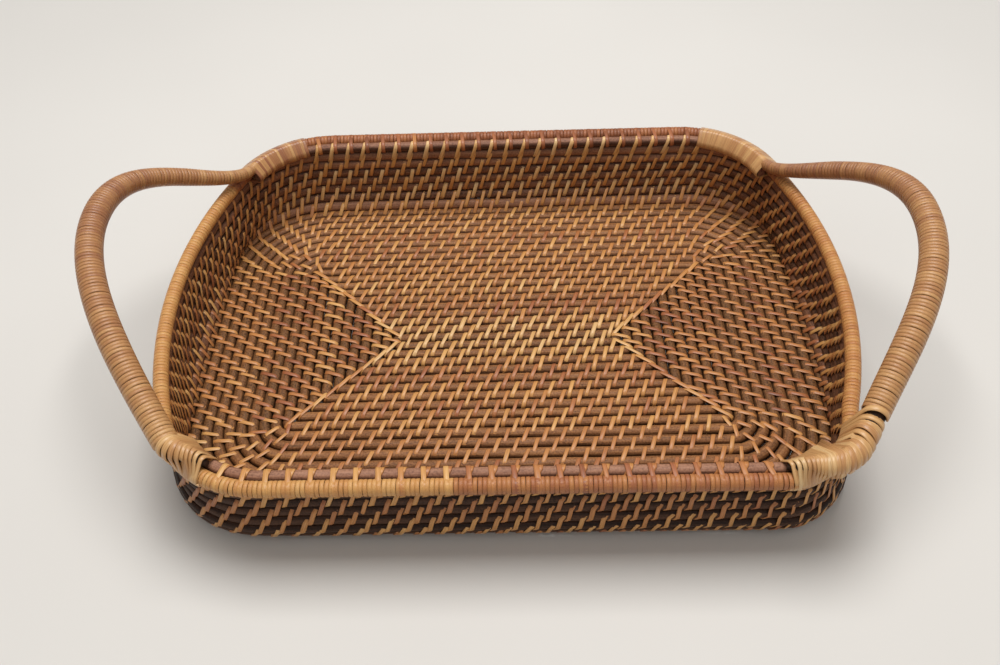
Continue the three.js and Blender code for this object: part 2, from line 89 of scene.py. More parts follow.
CANE_RADIUS = 3.0 * MM
CANE_BREADTH = 1.17  # how much wider than high the floor canes are
WALL_CANE_RADIUS = 3.1 * MM
WALL_CANE_BREADTH = 1.28
ROD_RADIUS = 3.3 * MM
FLOOR_HEIGHT = 3.8 * MM  # of the floor canes' centres
WALL_HEIGHTS = [FLOOR_HEIGHT] + [h * MM for h in (9.0, 15.0, 22.4, 29.9, 37.4, 44.9, 52.4)]  # from course 0
WALL_LEANS = (0, 0.41, 0.83, 1, 1, 1, 1, 1)  # share of the flare that each course has
WALL_TURNS = (90, -38, -26, -7, 0, 0, 0, 0)  # degrees that a course's outer face looks up
FRONT_BULGE = [b * MM for b in (5.8, 6.9, 4.2, 1.8, 0.6, 0, 0, 0)]  # how much fuller the front is
BULGE_REACH = 135 * MM  # from the centre line to where the bulge is full
OUTER_COURSES = 9  # of the floor, over which bulge and push fade away
OUTER_SWELL = 1.08  # how much thicker those courses are
CORNER_PUSH = 4.5 * MM  # of the front right corner
PUSH_REACH = 16 * MM
CORNER_DIRECTION = np.array([0.6, -0.8])
TOP_TILT = -0.016  # share of its height by which the wall is lower at the back and higher at the front,
TILT_REACH = 150 * MM  # so far from the centre line
TOP_HEIGHT = 59.7 * MM  # of the two rods along the long sides
RIM_LIFT = 0.4 * MM
STITCH_WIDTH = 2.7 * MM
STITCH_THICKNESS = 0.5 * MM
STITCH_SPACING = 11.9 * MM
STITCH_SLANT = 17  # degrees
MITRE_STITCH_HALF = 5.2 * MM
MITRE_MARGINS = (5.6 * MM, 3.4 * MM)  # free of stitches beside the mitres, on the long sides and at the ends
CORNER_ROWS = 13  # rows from the middle with a stitch square in each corner
LONG_TURN_WIDTH = 2.8 * MM
TURN_PITCH = 2.5 * MM
RIM_ROD_RADIUS = 3.75 * MM
RIM_TURN_RADIUS = RIM_RADIUS - 0.5 * MM
HANDLE_TURN_PITCH = 2.3 * MM
HANDLE_TURN_SEAT = 1.35 * MM  # from the bare cane to the middle of a turn
BARE_NECK = 7  # millimetres of bare cane between a lashing with a lead and the turns
LASHING_PITCH = 2.1 * MM
LASHING_SLANT = 0.55  # how far the front loops lean along the rim, for each length outwards
SLANT_EASE = 0.4  # share of a lashing at each end over which its loops come to lean
SLANT_CENTRE = 5 * MM  # how far out from the rods' line a leaning loop is at its own level
TAKEN_IN = 0.3  # share of a lashing with a lead by which its loops also go round the rod
LASHING_SEAT = 0.35 * MM  # from the bundle to the middle of the strip
LASHING_BROADENING = 1.1
LASHING_STEPS = 24  # points of a loop
LASHING_LIMIT = 161.5 * MM  # across the tray, so that the lashings stay within its width
MITRED_BEND = 2.2 * MM  # radius of the mitred courses' corners

rng = np.random.default_rng(11)


def colour(code):
    """Linear colour with alpha from an sRGB hex code."""
    values = [int(code[i:i + 2], 16) / 255 for i in (0, 2, 4)]
    return [v / 12.92 if v <= 0.04045 else ((v + 0.055) / 1.055) ** 2.4 for v in values] + [1.0]


# Node trees, written as plain calls


class Value:
    """A socket on which Python's operators add Math nodes."""

    def __init__(self, nodes, socket):
        self.nodes = nodes
        self.socket = socket

    def math(self, operation, *values):
        return self.nodes.add("ShaderNodeMath", {"operation": operation}, dict(enumerate(values)))

    def __add__(self, other):
        return self.math("ADD", self, other)

    def __sub__(self, other):
        return self.math("SUBTRACT", self, other)

    def __mul__(self, other):
        return self.math("MULTIPLY", self, other)

    def __rsub__(self, other):
        return self.math("SUBTRACT", other, self)

    __radd__ = __add__
    __rmul__ = __mul__


def chosen(sockets, key):
    """Socket by its number, or the first one in use with that name."""
    if isinstance(key, int):
        return sockets[key]
    return next(s for s in sockets if s.name == key and s.enabled)


class Nodes:
    """Node tree to which nodes and their links are added by calls."""

    def __init__(self, tree):
        self.tree = tree

    def add(self, kind, settings=None, inputs=None, output=None):
        """Output of a new node: its settings are set first, then the values or links of its sockets."""
        node = self.tree.nodes.new(kind)
        for name, value in (settings or {}).items():
            if name == "stops":
                ramp = node.color_ramp
                while len(ramp.elements) < len(value):
                    ramp.elements.new(0.5)
                for element, (position, tint) in zip(ramp.elements, value):
                    element.position = position
                    element.color = tint
            else:
                setattr(node, name, value)
        for key, value in (inputs or {}).items():
            socket = chosen(node.inputs, key)
            if isinstance(value, Value):
                self.tree.links.new(value.socket, socket)
            else:
                socket.default_value = value
        if output is None:
            output = next(s.name for s in node.outputs if s.enabled)
        return Value(self, chosen(node.outputs, output))

    def vector(self, x, y, z):
        return self.add("ShaderNodeCombineXYZ", None, {"X": x, "Y": y, "Z": z})


class Pattern(Nodes):
    """Geometry Nodes tree with named inputs, which turns a guide mesh into a finished piece."""

    def __init__(self, name):
        super().__init__(bpy.data.node_groups.new(name, "GeometryNodeTree"))
        self.identifiers = {}
        self.group_input = self.tree.nodes.new("NodeGroupInput")
        self.guide = self.size("Guide", "NodeSocketGeometry")

    def size(self, name, kind="NodeSocketFloat"):
        item = self.tree.interface.new_socket(name, in_out="INPUT", socket_type=kind)
        self.identifiers[name] = item.identifier
        return Value(self, self.group_input.outputs[name])

    def sizes(self, *names, kind="NodeSocketFloat"):
        return [self.size(name, kind) for name in names]

    def attribute(self, name, kind="FLOAT"):
        return self.add("GeometryNodeInputNamedAttribute", {"data_type": kind}, {"Name": name}, "Attribute")

    def store(self, geometry, name, value):
        return self.add("GeometryNodeStoreNamedAttribute", {"data_type": "FLOAT", "domain": "POINT"},
                        {"Geometry": geometry, "Name": name, "Value": value})

    def store_along(self, curve):
        return self.store(curve, "along", self.add("GeometryNodeSplineParameter", output="Length"))

    def place(self, axis):
        """One coordinate of the points at hand."""
        point = self.add("GeometryNodeInputPosition")
        return self.add("ShaderNodeSeparateXYZ", None, {"Vector": point}, axis)

    def faced_curve(self):
        """The guide's lines as curves, turned to face as their points say."""
        curve = self.add("GeometryNodeMeshToCurve", None, {"Mesh": self.guide})
        curve = self.add("GeometryNodeSetCurveNormal", {"mode": "FREE"},
                         {"Curve": curve, "Normal": self.attribute("facing", "FLOAT_VECTOR")})
        return self.store_along(curve)

    def circle(self, corners):
        return self.add("GeometryNodeCurvePrimitiveCircle", None,
                        {"Resolution": corners, "Radius": 1.0}, "Curve")

    def swept(self, curve, profile, scale, caps):
        return self.add("GeometryNodeCurveToMesh", None,
                        {"Curve": curve, "Profile Curve": profile, "Scale": scale, "Fill Caps": caps})

    def random(self, low, high, seed):
        return self.add("FunctionNodeRandomValue", {"data_type": "FLOAT"},
                        {"Min": low, "Max": high, "Seed": seed})

    def close(self, geometry):
        """Ends the tree: real geometry, smooth, with its material."""
        material = self.size("Material", "NodeSocketMaterial")
        real = self.add("GeometryNodeRealizeInstances", None, {"Geometry": geometry})
        smooth = self.add("GeometryNodeSetShadeSmooth", None, {"Geometry": real})
        dressed = self.add("GeometryNodeSetMaterial", None, {"Geometry": smooth, "Material": material})
        self.tree.interface.new_socket("Piece", in_out="OUTPUT", socket_type="NodeSocketGeometry")
        self.tree.links.new(dressed.socket, self.tree.nodes.new("NodeGroupOutput").inputs[0])


def flat_profile(pattern, width, thickness, corners, roundness):
    """Section of a strip of peel: a roundness of 1 makes it oval, and less makes its faces more level."""
    x = pattern.place("X")
    y = pattern.place("Y")
    circle = pattern.store(pattern.circle(corners), "side", x)
    circle = pattern.store(circle, "up", y * 0.1)
    squarer = x.math("SIGN", x) * x.math("POWER", x.math("ABSOLUTE", x), roundness)
    corner = pattern.vector(squarer * width * 0.5, y * thickness * 0.577, 0.0)
    profile = pattern.add("GeometryNodeSetPosition", None, {"Geometry": circle, "Position": corner})
    return pattern.add("GeometryNodeTransform", None, {"Geometry": profile, "Rotation": (0, 0, math.pi / 2)})


def cane_pattern():
    """Canes along the guide's lines, as thick as the lines' points say and broader across their facing."""
    pattern = Pattern("canes")
    sides = pattern.size("Sides", "NodeSocketInt")
    breadth = pattern.size("Breadth")
    circle = pattern.store(pattern.circle(sides), "up", pattern.place("X"))
    circle = pattern.store(circle, "side", pattern.place("Y"))
    oval = pattern.add("GeometryNodeTransform", None,
                       {"Geometry": circle, "Scale": pattern.vector(1.0, breadth, 1.0)})
    pattern.close(pattern.swept(pattern.faced_curve(), oval, pattern.attribute("thickness"), True))
    return pattern


def peel_pattern():
    """Flat strips of peel along the guide's lines, turned to face as the lines' points say."""
    pattern = Pattern("peel strips")
    width, thickness, roundness = pattern.sizes("Width", "Thickness", "Roundness")
    profile = flat_profile(pattern, width, thickness, pattern.size("Corners", "NodeSocketInt"), roundness)
    pattern.close(pattern.swept(pattern.faced_curve(), profile, pattern.attribute("breadth"), True))
    return pattern


def turn_pattern():
    """Close turns of peel round the guide's lines, spaced along them."""
    pattern = Pattern("close turns")
    pitch, width, bulge, spread, tilt = pattern.sizes("Pitch", "Width", "Bulge", "Tone Spread", "Tilt")
    sides, seed = pattern.sizes("Sides", "Seed", kind="NodeSocketInt")
    curve = pattern.add("GeometryNodeMeshToCurve", None, {"Mesh": pattern.guide})
    points = pattern.add("GeometryNodeCurveToPoints", {"mode": "LENGTH"},
                         {"Curve": curve, "Length": pitch}, "Points")
    tangent = Value(pattern, points.socket.node.outputs["Tangent"])
    tone = pattern.attribute("tone") + pattern.random(spread * -1, spread, seed)
    points = pattern.store(points, "tone", tone)
    points = pattern.store(points, "strand", pattern.random(0.0, 1.0, seed + 1))
    turn = pattern.swept(pattern.store_along(pattern.circle(sides)),
                         flat_profile(pattern, width, bulge, 8, 0.4), 1.0, False)
    axis = pattern.add("FunctionNodeAlignRotationToVector", {"axis": "Z"}, {"Vector": tangent})
    lean = pattern.vector(*(pattern.random(tilt * -1, tilt, seed + n) for n in (2, 3)), 0.0)
    leaning = pattern.add("FunctionNodeRotateRotation", {"rotation_space": "LOCAL"},
                          {"Rotation": axis, "Rotate By": lean})
    radius = pattern.attribute("thickness")
    pattern.close(pattern.add("GeometryNodeInstanceOnPoints", None, {
        "Points": points, "Instance": turn, "Rotation": leaning,
        "Scale": pattern.vector(radius, radius, 1.0)}))
    return pattern


# Guides for the trees, and the pieces they make


def placed(name, data):
    """New object in the scene."""
    made = bpy.data.objects.new(name, data)
    bpy.context.scene.collection.objects.link(made)
    return made


def guide(name, lines):
    """Mesh of bare points and edges. Lines are dicts of points, closed, and further values for each point."""
    places, edges, values = [], [], {}
    for line in lines:
        first = len(places)
        count = len(line["points"])
        places.extend(tuple(p) for p in line["points"])
        edges.extend((first + i, first + i + 1) for i in range(count - 1))
        if line["closed"]:
            edges.append((first + count - 1, first))
        for key, value in line.items():
            if key not in ("points", "closed"):
                full = np.broadcast_to(value, (count, 3) if key == "facing" else (count,))
                values.setdefault(key, []).append(full)
    mesh = bpy.data.meshes.new(name)
    mesh.from_pydata(places, edges, [])
    for key, value in values.items():
        value = np.concatenate(value).astype(np.float32)
        kind, field = ("FLOAT_VECTOR", "vector") if value.ndim == 2 else ("FLOAT", "value")
        mesh.attributes.new(key, kind, "POINT").data.foreach_set(field, value.ravel())
    return placed(name, mesh)


def finished(name, pattern, lines, material, **sizes):
    """Runs a tree on its guide lines and keeps the result as a plain mesh with its faces outwards."""
    source = guide(f"{name} guide", lines)
    modifier = source.modifiers.new(name, "NODES")
    modifier.node_group = pattern.tree
    modifier[pattern.identifiers["Material"]] = material
    for key, value in sizes.items():
        modifier[pattern.identifiers[key.replace("_", " ").title()]] = value
    bpy.context.view_layer.update()
    evaluated = source.evaluated_get(bpy.context.evaluated_depsgraph_get())
    mesh = bpy.data.meshes.new_from_object(evaluated)
    bpy.data.objects.remove(source)
    mesh.name = name
    shape = bmesh.new()
    shape.from_mesh(mesh)
    if shape.calc_volume(signed=True) < 0:
        mesh.flip_normals()
    shape.free()
    return placed(name, mesh)


# Outlines of the courses


def distances(places):
    """Distance along a line of places at each of them."""
    return np.concatenate([[0], np.cumsum(np.linalg.norm(np.diff(places, axis=0), axis=1))])


def direction(turn):
    return np.array([math.cos(turn), math.sin(turn)])


def eased(share):
    """Share from 0 to 1 that starts and ends gently."""
    return share ** 2 * (3 - 2 * share)


class Line:
    """Closed line in plan with its outward directions, looked up by the distance along it."""

    def __init__(self, places, outward):
        self.places = np.vstack([places, places[:1]])
        self.outward = np.vstack([outward, outward[:1]])
        self.distance = distances(self.places)
        self.length = self.distance[-1]

    def at(self, distance):
        where = np.mod(distance, self.length)
        place, outward = (np.stack([np.interp(where, self.distance, values[:, i]) for i in (0, 1)], -1)
                          for values in (self.places, self.outward))
        return place, outward / np.linalg.norm(outward, axis=-1, keepdims=True)


@dataclass
class Outline:
    """Half a length and width, a corner radius and the curvature of the bowed ends."""

    half_length: float
    half_width: float
    corner_radius: float
    end_curvature: float = 0.0

    def moved_out(self, offset):
        curvature = 1 / (1 / self.end_curvature + offset) if self.end_curvature else 0.0
        return Outline(self.half_length + offset, self.half_width + offset,
                       self.corner_radius + offset, curvature)

    def corner(self):
        """Centre of the corner arc, and the direction at which the end meets it."""
        centre_y = self.half_width - self.corner_radius
        if not self.end_curvature:
            return self.half_length - self.corner_radius, centre_y, 0.0
        end_radius = 1 / self.end_curvature
        reach = math.sqrt((end_radius - self.corner_radius) ** 2 - centre_y ** 2)
        centre_x = self.half_length - end_radius + reach
        return centre_x, centre_y, math.atan2(centre_y, reach)

    def line(self, step=3 * MM, corner_step=math.radians(6)):
        """The whole outline, anticlockwise from the middle of the +X end."""
        centre_x, centre_y, start = self.corner()

        def directions(first, last, count):
            turns = first + (last - first) * np.arange(count) / count
            return np.column_stack([np.cos(turns), np.sin(turns)])

        count = max(2, round(centre_y / step))
        end_out = directions(0, start, count)
        if self.end_curvature:
            end = end_out / self.end_curvature + [self.half_length - 1 / self.end_curvature, 0]
        else:
            end = np.column_stack([np.full(count, self.half_length), centre_y * np.arange(count) / count])
        corner_out = directions(start, math.pi / 2, max(3, round((math.pi / 2 - start) / corner_step)))
        corner = [centre_x, centre_y] + self.corner_radius * corner_out
        count = max(2, round(centre_x / step)) + 1
        side = np.column_stack([np.linspace(centre_x, 0, count), np.full(count, self.half_width)])
        quarter = np.vstack([end, corner, side])
        out = np.vstack([end_out, corner_out, np.tile([0.0, 1.0], (count, 1))])
        flip_x, flip_y = np.array([-1, 1]), np.array([1, -1])
        halves = [np.vstack([q, (q * flip_x)[-2::-1]]) for q in (quarter, out)]
        whole = [np.vstack([h, (h * flip_y)[-2:0:-1]]) for h in halves]
        return Line(*whole)


def floor_outline(course):
    beyond = course - MITRED_COURSES
    radius = FIRST_CORNER_RADIUS + beyond * END_PITCH if beyond >= 0 else MITRED_BEND
    return Outline(MITRE_TIP + (course + 0.5) * END_PITCH, (course + 0.5) * SIDE_PITCH, radius)


def pushed(places, outline, amount=CORNER_PUSH):
    """Places on an outline, with its front right corner moved out a little."""
    centre_x, centre_y, _ = outline.corner()
    reach = (places - [centre_x, -centre_y]) @ CORNER_DIRECTION - outline.corner_radius
    share = np.clip(1 + reach / PUSH_REACH, 0, 1)
    moved = places + (eased(share) * amount)[..., None] * CORNER_DIRECTION
    return np.maximum(moved, [-np.inf, -outline.half_width])


def bulged(places, course, outline):
    """Places on a course, moved out to the fuller front. Floor courses count down from 0."""
    fade = 1 if course >= 0 else max(0, 1 + course / OUTER_COURSES)
    amount = FRONT_BULGE[max(course, 0)] * fade
    share = np.clip(-places[..., 1] / BULGE_REACH, 0, 1) ** 2
    return pushed(places, outline, CORNER_PUSH * fade) - (share * amount)[..., None] * np.array([0, 1])


def tilted(height, y):
    return height * (1 + TOP_TILT * y / TILT_REACH)


def wall_outline(course):
    base = floor_outline(FLOOR_COURSES - 1)
    share = WALL_LEANS[course]
    return Outline(base.half_length + share * END_FLARE, base.half_width + share * SIDE_FLARE,
                   base.corner_radius + share * (WALL_CORNER_RADIUS - base.corner_radius),
                   share / (TOP_END_RADIUS + RIM_OFFSET))


wall_top = wall_outline(CLOSED_WALL_COURSES)
top_outline = Outline(wall_top.half_length - RIM_OFFSET, wall_top.half_width,
                      TOP_CORNER_RADIUS, 1 / TOP_END_RADIUS)
rim_line = top_outline.moved_out(RIM_OFFSET).line(2 * MM)


def lifted(plan, height):
    return np.column_stack([plan, np.broadcast_to(height, len(plan))])


# The line of the two rods, which carries rim, handles and lashings

top_line = top_outline.line(1 * MM)


def on_rim(distance, offset, lift):
    """Point at a distance along the line of the rods, moved outwards and upwards from it."""
    place, outward = top_line.at(distance)
    place = pushed(place, top_outline)
    plan = place + outward * offset
    return np.array([*plan, tilted(TOP_HEIGHT, place[1]) + lift]), np.array([*outward, 0])


def corner_distance(handle, half, spot):
    """Distance along the rods' line of a handle's neck or the end of its tail."""
    aim = math.radians(handle[half][spot])
    turn = math.atan2(HALVES[half] * math.sin(aim), handle["side"] * math.cos(aim)) % (2 * math.pi)
    facing = np.unwrap(np.arctan2(top_line.outward[:, 1], top_line.outward[:, 0]))
    return float(np.interp(turn, facing - facing[0], top_line.distance))


def rod_span(half, spot="neck"):
    """First and last distance along the rods' line of one rod, or of what shows of it between the ends."""
    return sorted(corner_distance(handle, half, spot) for handle in HANDLES.values())


# Materials

WHITE = (1, 1, 1, 1)


class Finish(Nodes):
    def __init__(self, name):
        self.material = bpy.data.materials.new(name)
        self.material.use_nodes = True
        super().__init__(self.material.node_tree)
        self.tree.nodes.clear()

    def attribute(self, name):
        return self.add("ShaderNodeAttribute", {"attribute_name": name}, None, "Fac")

    def noise(self, vector, scale, detail=2.0, roughness=0.5):
        return self.add("ShaderNodeTexNoise", {"noise_dimensions": "3D"},
                        {"Vector": vector, "Scale": scale, "Detail": detail, "Roughness": roughness}, "Fac")

    def ramp(self, factor, stops):
        return self.add("ShaderNodeValToRGB", {"stops": stops}, {"Fac": factor}, "Color")

    def mixed(self, factor, a, b, blend="MIX"):
        return self.add("ShaderNodeMix", {"data_type": "RGBA", "blend_type": blend},
                        {"Factor": factor, "A": a, "B": b}, "Result")

    def surface(self, base, roughness, bump, distance, coat=0.0, gloss=0.45):
        normal = self.add("ShaderNodeBump", None, {"Strength": 1.0, "Distance": distance, "Height": bump})
        shader = self.add("ShaderNodeBsdfPrincipled", None, {
            "Base Color": base, "Roughness": roughness, "Normal": normal,
            "Coat Weight": coat, "Coat Roughness": 0.3, "Specular IOR Level": gloss})
        output = self.tree.nodes.new("ShaderNodeOutputMaterial")
        self.tree.links.new(shader.socket, output.inputs["Surface"])
        return self.material


def grain_vector(finish, along, across, offset=0.0):
    """Coordinates that run along a strand, so that noise on them is drawn out into grain."""
    return finish.vector(finish.attribute("along") * along, finish.attribute("side") * across,
                         finish.attribute("up") * across + finish.attribute("strand") * 50.0 + offset)


def cane_finish(name, *codes, outer=1.0):
    """Round rattan cane: long grain, mottled patches and a satin skin; painted shade darkens its flanks,
    where it meets the next cane, and its outer face as far as outer says.
    """
    dark, middle, light = map(colour, codes)
    finish = Finish(name)
    grain = finish.noise(grain_vector(finish, 60, 5), 1.0, 3.0, 0.6)
    patches = finish.noise(grain_vector(finish, 22, 0.6, 7.0), 1.0)
    tone = grain + patches * 0.5 + finish.attribute("tone") * 0.5 - 0.52
    base = finish.ramp(tone, [(0.12, dark), (0.45, middle), (0.85, light)])
    specks = finish.noise(finish.add("ShaderNodeTexCoord", output="Object"), 900.0)
    speckled = finish.mixed(0.35, base, finish.ramp(specks, [(0.3, dark), (0.6, light)]))
    side = finish.attribute("side")
    # Painted shade in the grooves: a cane's flanks, where it meets the next one, are darkened
    painted_groove_shade = finish.ramp(side.math("ABSOLUTE", side), [(0.6, WHITE), (0.95, (0.3, 0.27, 0.26, 1))])
    # Painted shade on the outer face: darkened down to the share outer, for outsides that stand in shade
    face = finish.ramp(finish.attribute("up") * 0.5 + 0.5, [(0.5, WHITE), (0.75, (outer, outer, outer, 1))])
    shaded = finish.mixed(1.0, finish.mixed(1.0, speckled, painted_groove_shade, "MULTIPLY"), face, "MULTIPLY")
    roughness = 0.62 - patches * 0.25
    return finish.surface(shaded, roughness, grain * 0.7 + specks * 0.3, 0.4 * MM, gloss=0.2)


def peel_finish(name, stops, roughness=0.42, coat=0.12):
    """Split rattan peel: a tint for each strand, fine streaks along it and a soft gloss."""
    finish = Finish(name)
    streaks = finish.noise(grain_vector(finish, 45, 5), 1.0, 3.0, 0.6)
    drift = finish.noise(grain_vector(finish, 35, 0.2, 3.0), 1.0, 1.0)
    tone = finish.attribute("tone") + (drift - 0.5) * 0.35 + (streaks - 0.5) * 0.22
    base = finish.ramp(tone, stops)
    shade = finish.ramp(streaks, [(0.3, (0.72, 0.68, 0.66, 1)), (0.62, WHITE)])
    fibres = finish.mixed(1.0, base, shade, "MULTIPLY")
    return finish.surface(fibres, roughness + (streaks - 0.5) * 0.25, streaks, 0.12 * MM, coat)


PEEL_POSITIONS = (0, 0.28, 0.52, 0.74, 1)
STRAW_STOPS, HANDLE_STOPS = (
    [(position, colour(code)) for position, code in zip(PEEL_POSITIONS, codes)]
    for codes in (("6a3a22", "a8653e", "c6864a", "d9a35f", "e4bf88"),
                  ("623820", "9c6442", "b98352", "d1a168", "e6c692")))
floor_cane_finish = cane_finish("floor cane", "402614", "7f4f2f", "b07c4c")
# The wall canes get painted shade on their outer faces, darkened to 0.36
wall_cane_finish = cane_finish("wall cane", "28170f", "69432f", "9c6d50", outer=0.36)
rod_finish = cane_finish("rod cane", "3a2218", "7c5240", "a87a60")
# Painted shade: the handle canes are near-black, for the bare cane in the shadowed gap between the rim and
# the turns
painted_shade_handle_cane_finish = cane_finish("handle cane", "1c120c", "36241a", "4c3629")
stitch_finish = peel_finish("stitch peel", STRAW_STOPS)
rim_finish = peel_finish("rim peel", STRAW_STOPS, 0.45)
handle_finish = peel_finish("handle peel", HANDLE_STOPS, 0.36, 0.25)
lashing_finish = peel_finish("lashing peel", HANDLE_STOPS, 0.38, 0.2)

canes = cane_pattern()
strips = peel_pattern()
turns = turn_pattern()


# Floor and wall canes

WALL_TONE_SPREAD = 2.4
FLOOR_TONE_SPREAD = 1.3
END_SHADE = 0.6  # how much darker the canes are at the tray's ends
FOOT_SHADE = 0.3  # and the two floor courses at the foot
CANE_STEP = 5 * MM  # between the points of a cane's line
WAVES = 24  # of a cane that isn't quite straight or even


def wander(count, amount):
    """Smooth closed random run of numbers, for canes that aren't quite straight."""
    turns = np.linspace(0, 2 * math.pi, count, endpoint=False)
    total = np.zeros(count)
    for wave in range(2, WAVES):
        total += np.sin(wave * turns + rng.uniform(0, 2 * math.pi)) * rng.normal()
    return amount * total / math.sqrt(WAVES)


def cane_line(places, closed, radius, facing):
    return {"points": places, "closed": closed, "facing": facing,
            "thickness": radius * (1 + wander(len(places), 0.02)),
            "tone": rng.uniform(0.25, 0.75), "strand": rng.uniform()}


def cane_ring(outline, course, height, radius, facing_turn):
    """Closed course. Its facing is turned up from straight outwards by an angle in degrees."""
    line = outline.line(CANE_STEP)
    outward = line.outward[:-1]
    plan = bulged(line.places[:-1], course, outline) + outward * wander(len(outward), 0.2 * MM)[:, None]
    places = lifted(plan, tilted(height, plan[:, 1]) if course > 0 else height)
    turn = math.radians(facing_turn)
    facing = np.column_stack([outward * math.cos(turn), np.full(len(outward), math.sin(turn))])
    line = cane_line(places, True, radius * (OUTER_SWELL if -OUTER_COURSES < course <= 0 else 1), facing)
    spread = WALL_TONE_SPREAD if course > 0 else FLOOR_TONE_SPREAD
    line["tone"] = (0.5 + (line["tone"] - 0.5) * spread - END_SHADE * np.abs(outward[:, 0]) ** 4
                    - (FOOT_SHADE if course in (-1, 0) else 0))
    return line


floor_lines = [cane_ring(floor_outline(k), k + 1 - FLOOR_COURSES, FLOOR_HEIGHT, CANE_RADIUS, 90)
               for k in range(FLOOR_COURSES)]
floor_canes = finished("floor_canes", canes, floor_lines, floor_cane_finish, sides=12, breadth=CANE_BREADTH)
wall_lines = [cane_ring(wall_outline(k), k, WALL_HEIGHTS[k], WALL_CANE_RADIUS, WALL_TURNS[k])
              for k in range(1, CLOSED_WALL_COURSES + 1)]
wall_canes = finished("wall_canes", canes, wall_lines, wall_cane_finish, sides=12, breadth=WALL_CANE_BREADTH)
rod_lines = []
for half, tone in (("front", 1.0), ("back", 0.6)):
    rod_places = [on_rim(distance, 0, 0)[0] for distance in np.arange(*rod_span(half), CANE_STEP)]
    rod_lines.append({**cane_line(np.array(rod_places), False, ROD_RADIUS, (0, 0, 1)), "tone": tone})
top_rods = finished("top_rods", canes, rod_lines, rod_finish, sides=12, breadth=1.06)


# Stitches

# Way of a strand round two canes: -1 is the inner or lower one, and an angle of 90 degrees the seen face
SEWING = ((-1, 180), (-1, 135), (-1, 90), (1, 90), (1, 45), (1, 0), (1, -45), (1, -90), (-1, -90), (-1, -135))
SEEN_STEPS = 6
SLANT = math.tan(math.radians(STITCH_SLANT))
MITRE_SLANT = -0.14
FAR_LEAN = 0.24  # of the strand on the far side
FAR_LEAN_CHANGE = 0.2  # less towards the right of the front
FAR_LEAN_REACH = 150 * MM  # from the middle to where that is full
END_STITCH_SHADE = 0.12  # how much darker the floor's stitches are at the tray's ends
ROD_STITCH_RADIUS = ROD_RADIUS + 0.3 * MM
STITCH_SIZES = dict(width=STITCH_WIDTH, thickness=STITCH_THICKNESS, corners=6, roundness=0.4)


class Stitch:
    """Where a strand crosses two canes on the seen face, how it leans, and its tone."""

    def __init__(self, place, run, travel, half, radius, tone, lean=SLANT):
        self.run = np.asarray(run)
        self.travel = np.asarray(travel)
        self.face = np.cross(run, travel)
        self.half = half
        self.radius = radius + STITCH_THICKNESS * 0.5
        self.end = half + self.radius
        self.lean = lean + rng.normal(0, 0.03)
        self.tone = tone + rng.normal(0, 0.04)
        self.breadth = rng.normal(1.0, 0.06)
        self.place = np.asarray(place) + self.travel * rng.normal(0, 0.3 * MM)

    def spot(self, side, degrees, x):
        return self.place + self.run * side * self.half + self.facing(degrees) * self.radius + self.travel * x

    def facing(self, degrees):
        turn = math.radians(degrees)
        return self.run * math.cos(turn) + self.face * math.sin(turn)

    def across(self, side, degrees):
        """Distance from the middle between the canes, towards the second one."""
        return side * self.half + self.radius * math.cos(math.radians(degrees))


def way_back(stitch):
    """Shares of the way to the next stitch at the steps on the far side, where the strand leans less."""
    along_front = min(max(stitch.place[0] / FAR_LEAN_REACH, -1), 1) if stitch.place[1] < 0 else 0
    lean = FAR_LEAN - FAR_LEAN_CHANGE * along_front
    return 0.25 - lean / 4, 0.5 - lean / 2, 0.5 + lean / 2, 0.75 + lean / 4


def strip(points, closed, facing, tone, breadth):
    """Guide line of one strip of peel."""
    return {"points": points, "closed": closed, "facing": np.array(facing), "tone": tone,
            "breadth": breadth, "strand": rng.uniform()}


def sewn(row, closed=True):
    """One strand through a row of stitches: over both canes on the seen face, then back to the next."""
    points, facing, tone, breadth = [], [], [], []
    for number, stitch in enumerate(row):
        after = row[(number + 1) % len(row)]
        last = not closed and number == len(row) - 1
        for step, (side, degrees) in enumerate(SEWING[:SEEN_STEPS] if last else SEWING):
            if step < SEEN_STEPS:
                point = stitch.spot(side, degrees, -stitch.lean * stitch.across(side, degrees))
            else:
                share = way_back(stitch)[step - SEEN_STEPS]
                point = (stitch.spot(side, degrees, -stitch.lean * stitch.end) * (1 - share)
                         + after.spot(side, degrees, after.lean * after.end) * share)
            points.append(point)
            facing.append(stitch.facing(degrees))
            tone.append(stitch.tone)
            breadth.append(stitch.breadth)
    return strip(points, closed, facing, tone, breadth)


def strand_tones(count, usual):
    """Tones of a row of stitches: each strand of peel sews a few dozen of them."""
    tones = np.empty(count)
    at = -rng.integers(0, 30)
    while at < count:
        length = rng.integers(22, 60)
        tones[max(at, 0):at + length] = rng.choice(usual)
        at += length
    return tones


def unit(vector):
    return vector / np.linalg.norm(vector)


SIDES = (((0, -1), (1, 0)), ((1, 0), (0, 1)), ((0, 1), (-1, 0)), ((-1, 0), (0, -1)))


